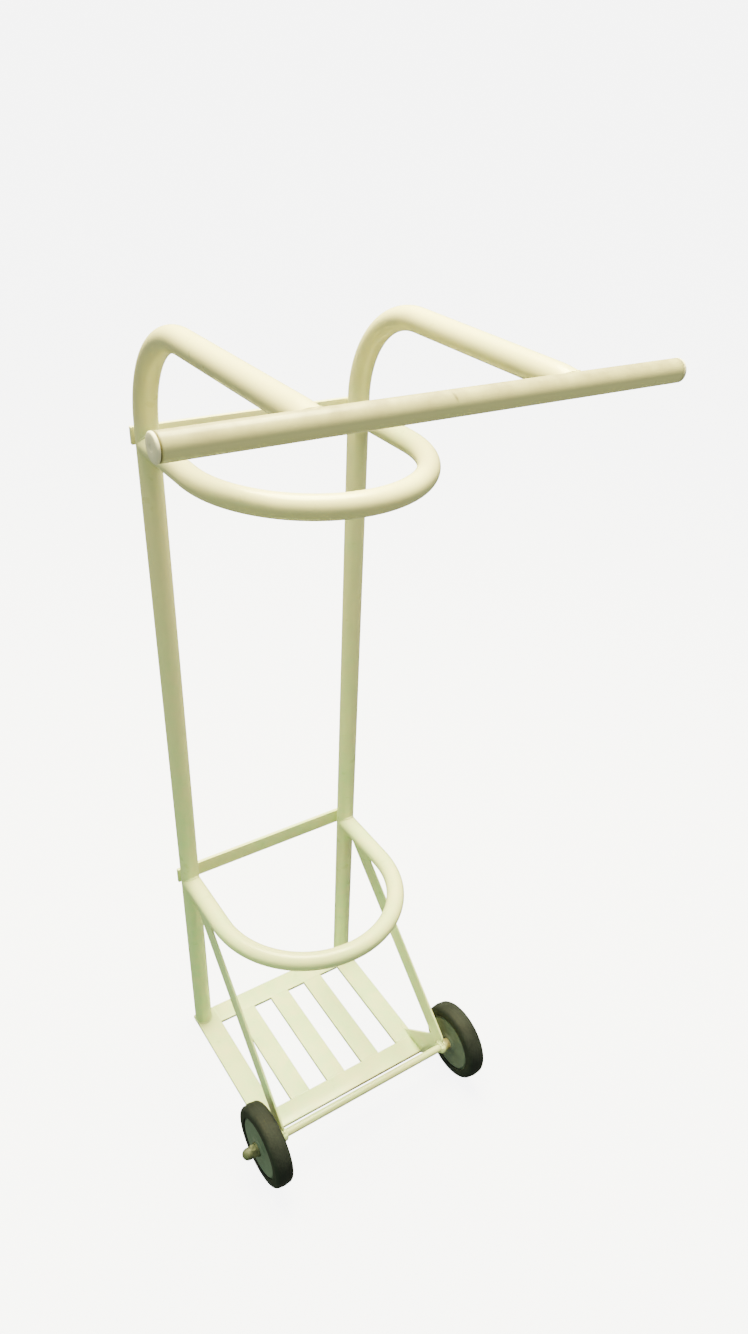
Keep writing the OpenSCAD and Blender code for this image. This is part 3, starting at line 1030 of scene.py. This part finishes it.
@dataclass
class Wheels(SubAssembly):
    """The two wheels: a solid rubber tyre, a plain moulded centre and a nylon bush."""

    outer_r: float = 62.5
    half_w: float = 14.0
    shoulder: float = 7.0
    seat_r: float = 46.0
    seat_gap: float = 0.1
    recess: float = 1.0
    hub_r: float = 15.0
    bush_r: float = 9.0
    bush_play: float = 0.05
    mouth: float = 0.6
    crown: float = 0.9
    mould_line: float = 0.2
    tread_dust: float = 0.25
    dust_depth: float = 1.2

    def tyre(self) -> Outline:
        """Ring outline of a tyre: a crowned tread, shoulders on quarter circles and a fine mould line.

        Returns:
            The outline, a loop.
        """
        w, r, seat = self.half_w, self.outer_r, self.seat_r + self.seat_gap
        flat, top = w - self.shoulder, r - self.crown - self.shoulder
        arc = self.shoulder * circle(np.linspace(0, QUARTER, 16))
        tread = np.linspace(flat, 0.9, 5)[1:]
        crowned = r - self.crown * (tread / flat) ** 2 - self.mould_line
        foot_x, foot_r = [w - 3.0, w - 0.5, w - 0.1, w], [seat, seat, seat + 0.4, seat + 1.2]
        half_x = join(foot_x, flat + arc[:, 0], tread, [0.35, 0.15])
        half_r = join(foot_r, top + arc[:, 1], crowned, [r - 0.1, r])
        return join(half_x, -half_x[::-1]), join(half_r, half_r[::-1])

    def centre(self) -> Outline:
        """Ring outline of a wheel centre: a hub boss, a shallow dish, a raised rim and a groove at the tyre.

        Returns:
            The outline, a loop.
        """
        face, hub, boss, rim = self.half_w - self.recess, Plan.hub_l / 2, self.hub_r, self.seat_r
        half = [(hub, self.bush_r + self.seat_gap, 0), (hub, boss - 3.0, 1.2), (face - 0.4, boss + 3.0, 2.0),
                (face - 0.6, rim - 9.0, 4.0), (face, rim - 3.0, 0.9), (face - 2.0, rim - 1.4, 0.5),
                (face - 2.2, rim, 0.3)]
        return rounded_profile([(-x, r, cut) for x, r, cut in half] + half[::-1])

    def bush(self) -> Outline:
        """Ring outline of a bush: a plain tube with chamfered mouths.

        Returns:
            The outline, a loop.
        """
        hub, bore, r = Plan.hub_l / 2, Plan.axle_r + self.bush_play, self.bush_r
        along = np.array([-hub, -hub, hub, hub, hub - self.mouth, self.mouth - hub])
        return along, np.array([bore + 0.5, r, r, bore + 0.5, bore, bore])

    def dress(self) -> None:
        """Builds both wheels; each piece turns with its wheel, and dust lies on the tread."""
        for side in Side:
            middle = Plan.on_axle(side * Plan.wheel_x)
            for part, slot, ring, steps in (("tyre", Slot.RUBBER, self.tyre(), 144),
                                            ("wheel_centre", Slot.DISC, self.centre(), 120),
                                            ("bush", Slot.NYLON, self.bush(), 64)):
                dust = self.tread_dust * np.clip(ring[1] - self.outer_r + self.dust_depth, 0, 1)[:, None]
                grid = revolve(ring, middle, side, steps)
                self.stand_in(f"{side.tag}_{part}", grid, dust, slot, loop=True, body=Body.wheel(side))


@dataclass
class Welds(SubAssembly):
    """Painted welds where tubes, bars and plates meet."""

    supports: AxleSupports
    bars: FlatBars
    fillet: WeldBead = WeldBead()
    small: WeldBead = WeldBead(1.7, 1.5, 2.8, 0.12)
    trim: WeldBead = WeldBead(1.3, 1.0, 2.8, 0.08)
    flush: WeldBead = WeldBead(2.0, 0.35, 3.6, 0.2)
    blob: WeldBead = WeldBead(3.4, 3.2, 4.2, 0.12)
    crease: float = 70.0
    flank_fade: float = 0.15
    flank_draw: float = 0.06
    saddle: float = 0.01
    trim_in: float = 0.4
    top_clear: float = 0.05
    ring_out: float = 0.8
    ring_proud: float = 0.6
    foot_arc: float = 138.0
    foot_shade: float = 0.5
    rear_spread: float = 6.5
    rear_sink: float = 1.0
    heel_over: float = 8.0
    brace_arc: float = 76.5
    arc_out: float = 0.2
    rail_clear: float = 4.0
    seam_sink: float = 0.1
    seam_dirt: float = 0.12
    end_in: float = 1.0
    rear_tilt: float = 0.3
    run_steps: int = 40
    loop_steps: int = 160
    ring_steps: int = 150
    foot_steps: int = 116
    flat_steps: int = 60

    def loops(self, side: Side) -> list[Array]:
        """Beads round the hoops' legs, the arm's end and the axle.

        Where equal tubes cross square, Y recedes by the size of the sine round the leg. The bead thins at
        the flanks, where the tubes run together. On the handle, Y follows the thinner handle's circle.

        Args:
            side: side of the trolley.

        Returns:
            A grid of points for each bead.
        """
        turn, r = full_turn(self.loop_steps), Plan.tube_r
        steep, middle = np.sin(turn) ** 2, side * Plan.upright_x
        leg_x = middle + r * np.cos(turn) * (1 - self.flank_draw * (1 - steep))
        leg_y = Plan.upright_y - r * np.sqrt(steep + self.saddle)
        fade = self.flank_fade + (1 - self.flank_fade) * steep
        made = [self.fillet.along(xyz(leg_x, leg_y, height + r * np.sin(turn)), -Y_AXIS, True, fade)
                for height in (Plan.upper_hoop_z, Plan.lower_hoop_z)]
        rise = (Plan.handle_r - self.trim_in) * np.sin(turn)
        reach = np.sqrt(Plan.handle_r ** 2 - rise ** 2)
        seam = xyz(middle + r * np.cos(turn), Plan.handle_y + reach, Plan.arm_z + rise)
        arm = self.trim.along(seam, Y_AXIS, True)
        arm[..., 2] = np.minimum(arm[..., 2], Plan.arm_z + r - self.top_clear)
        ring = (Plan.axle_r + self.ring_out) * circle(full_turn(self.ring_steps))
        inner_x = side * (Plan.bracket_inner_x - self.ring_proud)
        seam = Plan.on_axle(inner_x) + xyz(0.0, ring[:, 0], ring[:, 1])
        return [*made, arm, self.blob.along(seam, -side * X_AXIS, True)]

    def foot(self, side: Side) -> Array:
        """Bead round the foot of an upright: an arc of the tube's circle that leaves the rear open."""
        arc = Plan.tube_r * circle(np.radians(np.linspace(-self.foot_arc, self.foot_arc, self.foot_steps)))
        return self.small.along(
            xyz(side * Plan.upright_x + arc[:, 1], Plan.upright_y - arc[:, 0], Plan.bar_t), Z_AXIS)

    def runs(self, side: Side) -> list[Array]:
        """Open beads on both faces: straight at the rear bars and the bracket, an arc at the brace's foot.

        Args:
            side: side of the trolley.

        Returns:
            A grid of points for each bead.
        """
        rear_y, steps, z = Plan.upright_y + Plan.tube_r - self.rear_sink, self.run_steps, Plan.bar_t
        toe_y = Plan.slat_front_y + self.end_in
        heel_y = Plan.slat_front_y + self.supports.heel + self.heel_over
        foot, _, heading, across = self.supports.brace_frame(side)
        arc = circle(np.radians(np.linspace(-self.brace_arc, self.brace_arc, steps)))
        arc = foot + (Plan.eye_r + self.arc_out) * (arc @ [heading, across])
        made = []
        for way in BOTH_WAYS:
            x = side * Plan.upright_x + way * self.rear_spread
            for _, middle, width in self.bars.rear_bars:
                half = width / 2 - self.end_in
                seam = np.linspace([x, rear_y, middle - half], [x, rear_y, middle + half], steps)
                made.append(self.small.along(seam, np.array([way, self.rear_tilt, 0.0])))
            x = side * Plan.plate_x + way * Plan.bracket_t / 2
            seam = np.linspace([x, heel_y, z], [x, toe_y, z], steps)
            made.append(self.small.along(seam, np.array([way, 0.0, 1.0])))
            made.append(self.small.along(arc + X_AXIS * way * self.supports.brace_t / 2, X_AXIS * way))
        return made

    def platform(self) -> list[Array]:
        """Flat seams where the slats and rails butt against the cross bars.

        Returns:
            A grid of points for each seam.
        """
        z, rear, front = Plan.bar_t - self.seam_sink, Plan.slat_rear_y, Plan.slat_front_y
        spans = [(x, self.bars.slat_w, y) for _, x in self.bars.slats for y in (rear, front)]
        spans += [(way * Plan.rail_x, Plan.rail_w - self.rail_clear, front) for way in BOTH_WAYS]
        seams = [([x - width / 2 + self.end_in, y, z], [x + width / 2 - self.end_in, y, z])
                 for x, width, y in spans]
        seams += [([x, rear + self.end_in, z], [x, Plan.base_rear_y - self.end_in, z])
                  for x in (-Plan.rail_inner_x, Plan.rail_inner_x)]
        return [self.flush.along(np.linspace(start, end, self.flat_steps), Z_AXIS) for start, end in seams]

    def dress(self) -> None:
        """Builds all welds of the frame as two pieces: the beads and the flat seams of the platform."""
        beads, flats = Surface(), Surface()
        for side in Side:
            for bead in self.loops(side):
                beads.add(bead, loop=True)
            # The foot bead carries painted shade where the upright stands on the rail.
            beads.add(self.foot(side), self.foot_shade)
            for bead in self.runs(side):
                beads.add(bead)
        for seam in self.platform():
            flats.add(seam, self.seam_dirt)
        self.piece("frame_welds", beads, Slot.ENAMEL, crease=self.crease)
        self.piece("platform_seams", flats, Slot.ENAMEL, crease=self.crease)


def stand(made: bpy.types.Object, right: Array, up: Array, back: Array, place: Array) -> None:
    """Turns an object to three directions, moves it to its place in metres and links it to the scene."""
    made.matrix_world = np.column_stack([[right, up, back, place], [0, 0, 0, 1]]).tolist()
    bpy.context.scene.collection.objects.link(made)


@dataclass(frozen=True)
class Lamp:
    """A soft square lamp: its places and size in metres, its power in watts and its spread in degrees."""

    name: str
    place: Triple
    aim: Triple
    size: float
    power: float
    tone: str
    spread: float = 180.0
    steep: float = 0.9

    def hang(self) -> None:
        """Adds the lamp, turned to its aim and hidden from the camera."""
        data = bpy.data.lights.new(self.name, "AREA")
        data.size, data.energy, data.color = self.size, self.power, hex_colour(self.tone)[:3]
        data.spread = math.radians(self.spread)
        made = bpy.data.objects.new(self.name, data)
        back = unit(np.array(self.place) - self.aim)
        side = unit(np.cross(Y_AXIS if abs(back[2]) > self.steep else Z_AXIS, back))
        made.visible_camera = False
        stand(made, side, np.cross(back, side), back, np.array(self.place))


@dataclass(frozen=True)
class Studio:
    """The pale floor, the soft lights and the camera at the photograph's angle."""

    eye: Triple = (-506.16, -826.61, 1372.61)
    yaw: float = 37.228
    pitch: float = 35.763
    roll: float = 4.616
    lens: float = 25.803
    shift: Pair = (-0.02817, 0.05016)
    sensor: float = 36.0
    clip: Pair = (0.01, 100.0)
    sky: str = "#f2fbe6"
    under: str = "#d9e0b6"
    sky_level: float = 0.5
    zenith_level: float = 0.42
    under_level: float = 0.66
    horizon: float = -0.04
    floor_tone: str = "#8a8a88"
    floor_glow: float = 6.5
    floor_rough: float = 0.9
    floor_rings: Triple = (0.01, 2.0, 4.0)
    floor_r: float = 6.0
    cove_r: float = 3.0
    wall_top: float = 10.0
    lamps: tuple[Lamp, ...] = (
        Lamp("key", (0.2, 0.42, 2.8), (0.0, 0.0, 0.6), 1.4, 530.0, "#fdf6b4"),
        Lamp("low_fill", (-1.7, -0.35, 0.4), (0.0, -0.05, 0.1), 0.8, 2.2, "#98e888", 62.0))

    def camera(self) -> None:
        """Places the camera: forward from yaw and pitch, then a roll of its right and up directions."""
        yaw, pitch, roll = (math.radians(angle) for angle in (self.yaw, self.pitch, self.roll))
        level = np.array([math.cos(yaw), -math.sin(yaw), 0.0])
        forward = math.cos(pitch) * np.cross(Z_AXIS, level) - math.sin(pitch) * Z_AXIS
        up = np.cross(level, forward)
        data = bpy.data.cameras.new("photo_camera")
        data.sensor_width, data.lens = self.sensor, self.lens
        data.shift_x, data.shift_y = self.shift
        data.clip_start, data.clip_end = self.clip
        made = bpy.data.objects.new("photo_camera", data)
        cos, sin = math.cos(roll), math.sin(roll)
        stand(made, cos * level + sin * up, cos * up - sin * level, -forward, np.array(self.eye) * MM)
        bpy.context.scene.camera = made

    def floor(self) -> None:
        """Makes the floor: a disc that turns up on a quarter circle to a wall, swept round Z."""
        curve, wall_r = np.linspace(0, QUARTER, 24), self.floor_r + self.cove_r
        reach = join(self.floor_rings, self.floor_r + self.cove_r * np.sin(curve), [wall_r] * 2)
        rise = self.cove_r * (1 - np.cos(curve))
        height = join([0.0] * len(self.floor_rings), rise, [2 * self.cove_r, self.wall_top])
        ring = reach[:, None, None] * circle(full_turn(96))
        grid = xyz(ring[..., 0], ring[..., 1], height[:, None])
        mesh = bpy.data.meshes.new("floor")
        open_top = Surface().add(grid).faces[:-1]
        mesh.from_pydata(grid.reshape(-1, 3).tolist(), [], open_top)
        mesh.polygons.foreach_set("use_smooth", np.ones(len(mesh.polygons), bool))
        material, _, shader, _ = new_material("pale_floor")
        set_inputs(shader, {"Base Color": self.floor_tone, "Roughness": self.floor_rough,
                            "Emission Color": "#ffffff", "Emission Strength": self.floor_glow})
        mesh.materials.append(material)
        floor = bpy.data.objects.new("floor", mesh)
        floor.visible_diffuse = floor.visible_shadow = floor.visible_glossy = False
        bpy.context.scene.collection.objects.link(floor)

    def surroundings(self) -> None:
        """Makes the light from all round: one tint and level below the horizon, others above it."""
        world = bpy.data.worlds.new("studio")
        world.use_nodes = True
        add = partial(add_node, world.node_tree)
        rise = add("SeparateXYZ", [add("TexCoord", []).outputs["Generated"]]).outputs["Z"]
        above = add("MapRange", [rise, self.horizon, 0.0])
        tint = add("Mix", {"Factor": above, "A": self.under, "B": self.sky}, data_type="RGBA")
        level = add("MapRange", [above, 0.0, 1.0, self.under_level, self.sky_level])
        zenith = add("MapRange", [rise, 0.0, 1.0, 0.0, self.zenith_level])
        total = add("Math", [level, zenith], operation="ADD")
        set_inputs(world.node_tree.nodes["Background"], [tint, total])
        bpy.context.scene.world = world

    def build(self) -> None:
        """Makes the floor, the surrounding light, the lamps and the camera."""
        self.floor()
        self.surroundings()
        for lamp in self.lamps:
            lamp.hang()
        self.camera()


def main() -> None:
    """Builds every piece in order."""
    logging.basicConfig(level=logging.INFO, format="%(name)s: %(message)s")
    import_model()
    materials = {slot: finish.make() for slot, finish in FINISHES.items()}
    bars, supports = FlatBars(materials), AxleSupports(materials)
    for part in (SideFrames(materials), Handle(materials), Hoops(materials), bars, supports,
                 AxleEnds(materials), Wheels(materials), Welds(materials, supports, bars)):
        part.dress()
    Studio().build()


if __name__ == "__main__":
    main()
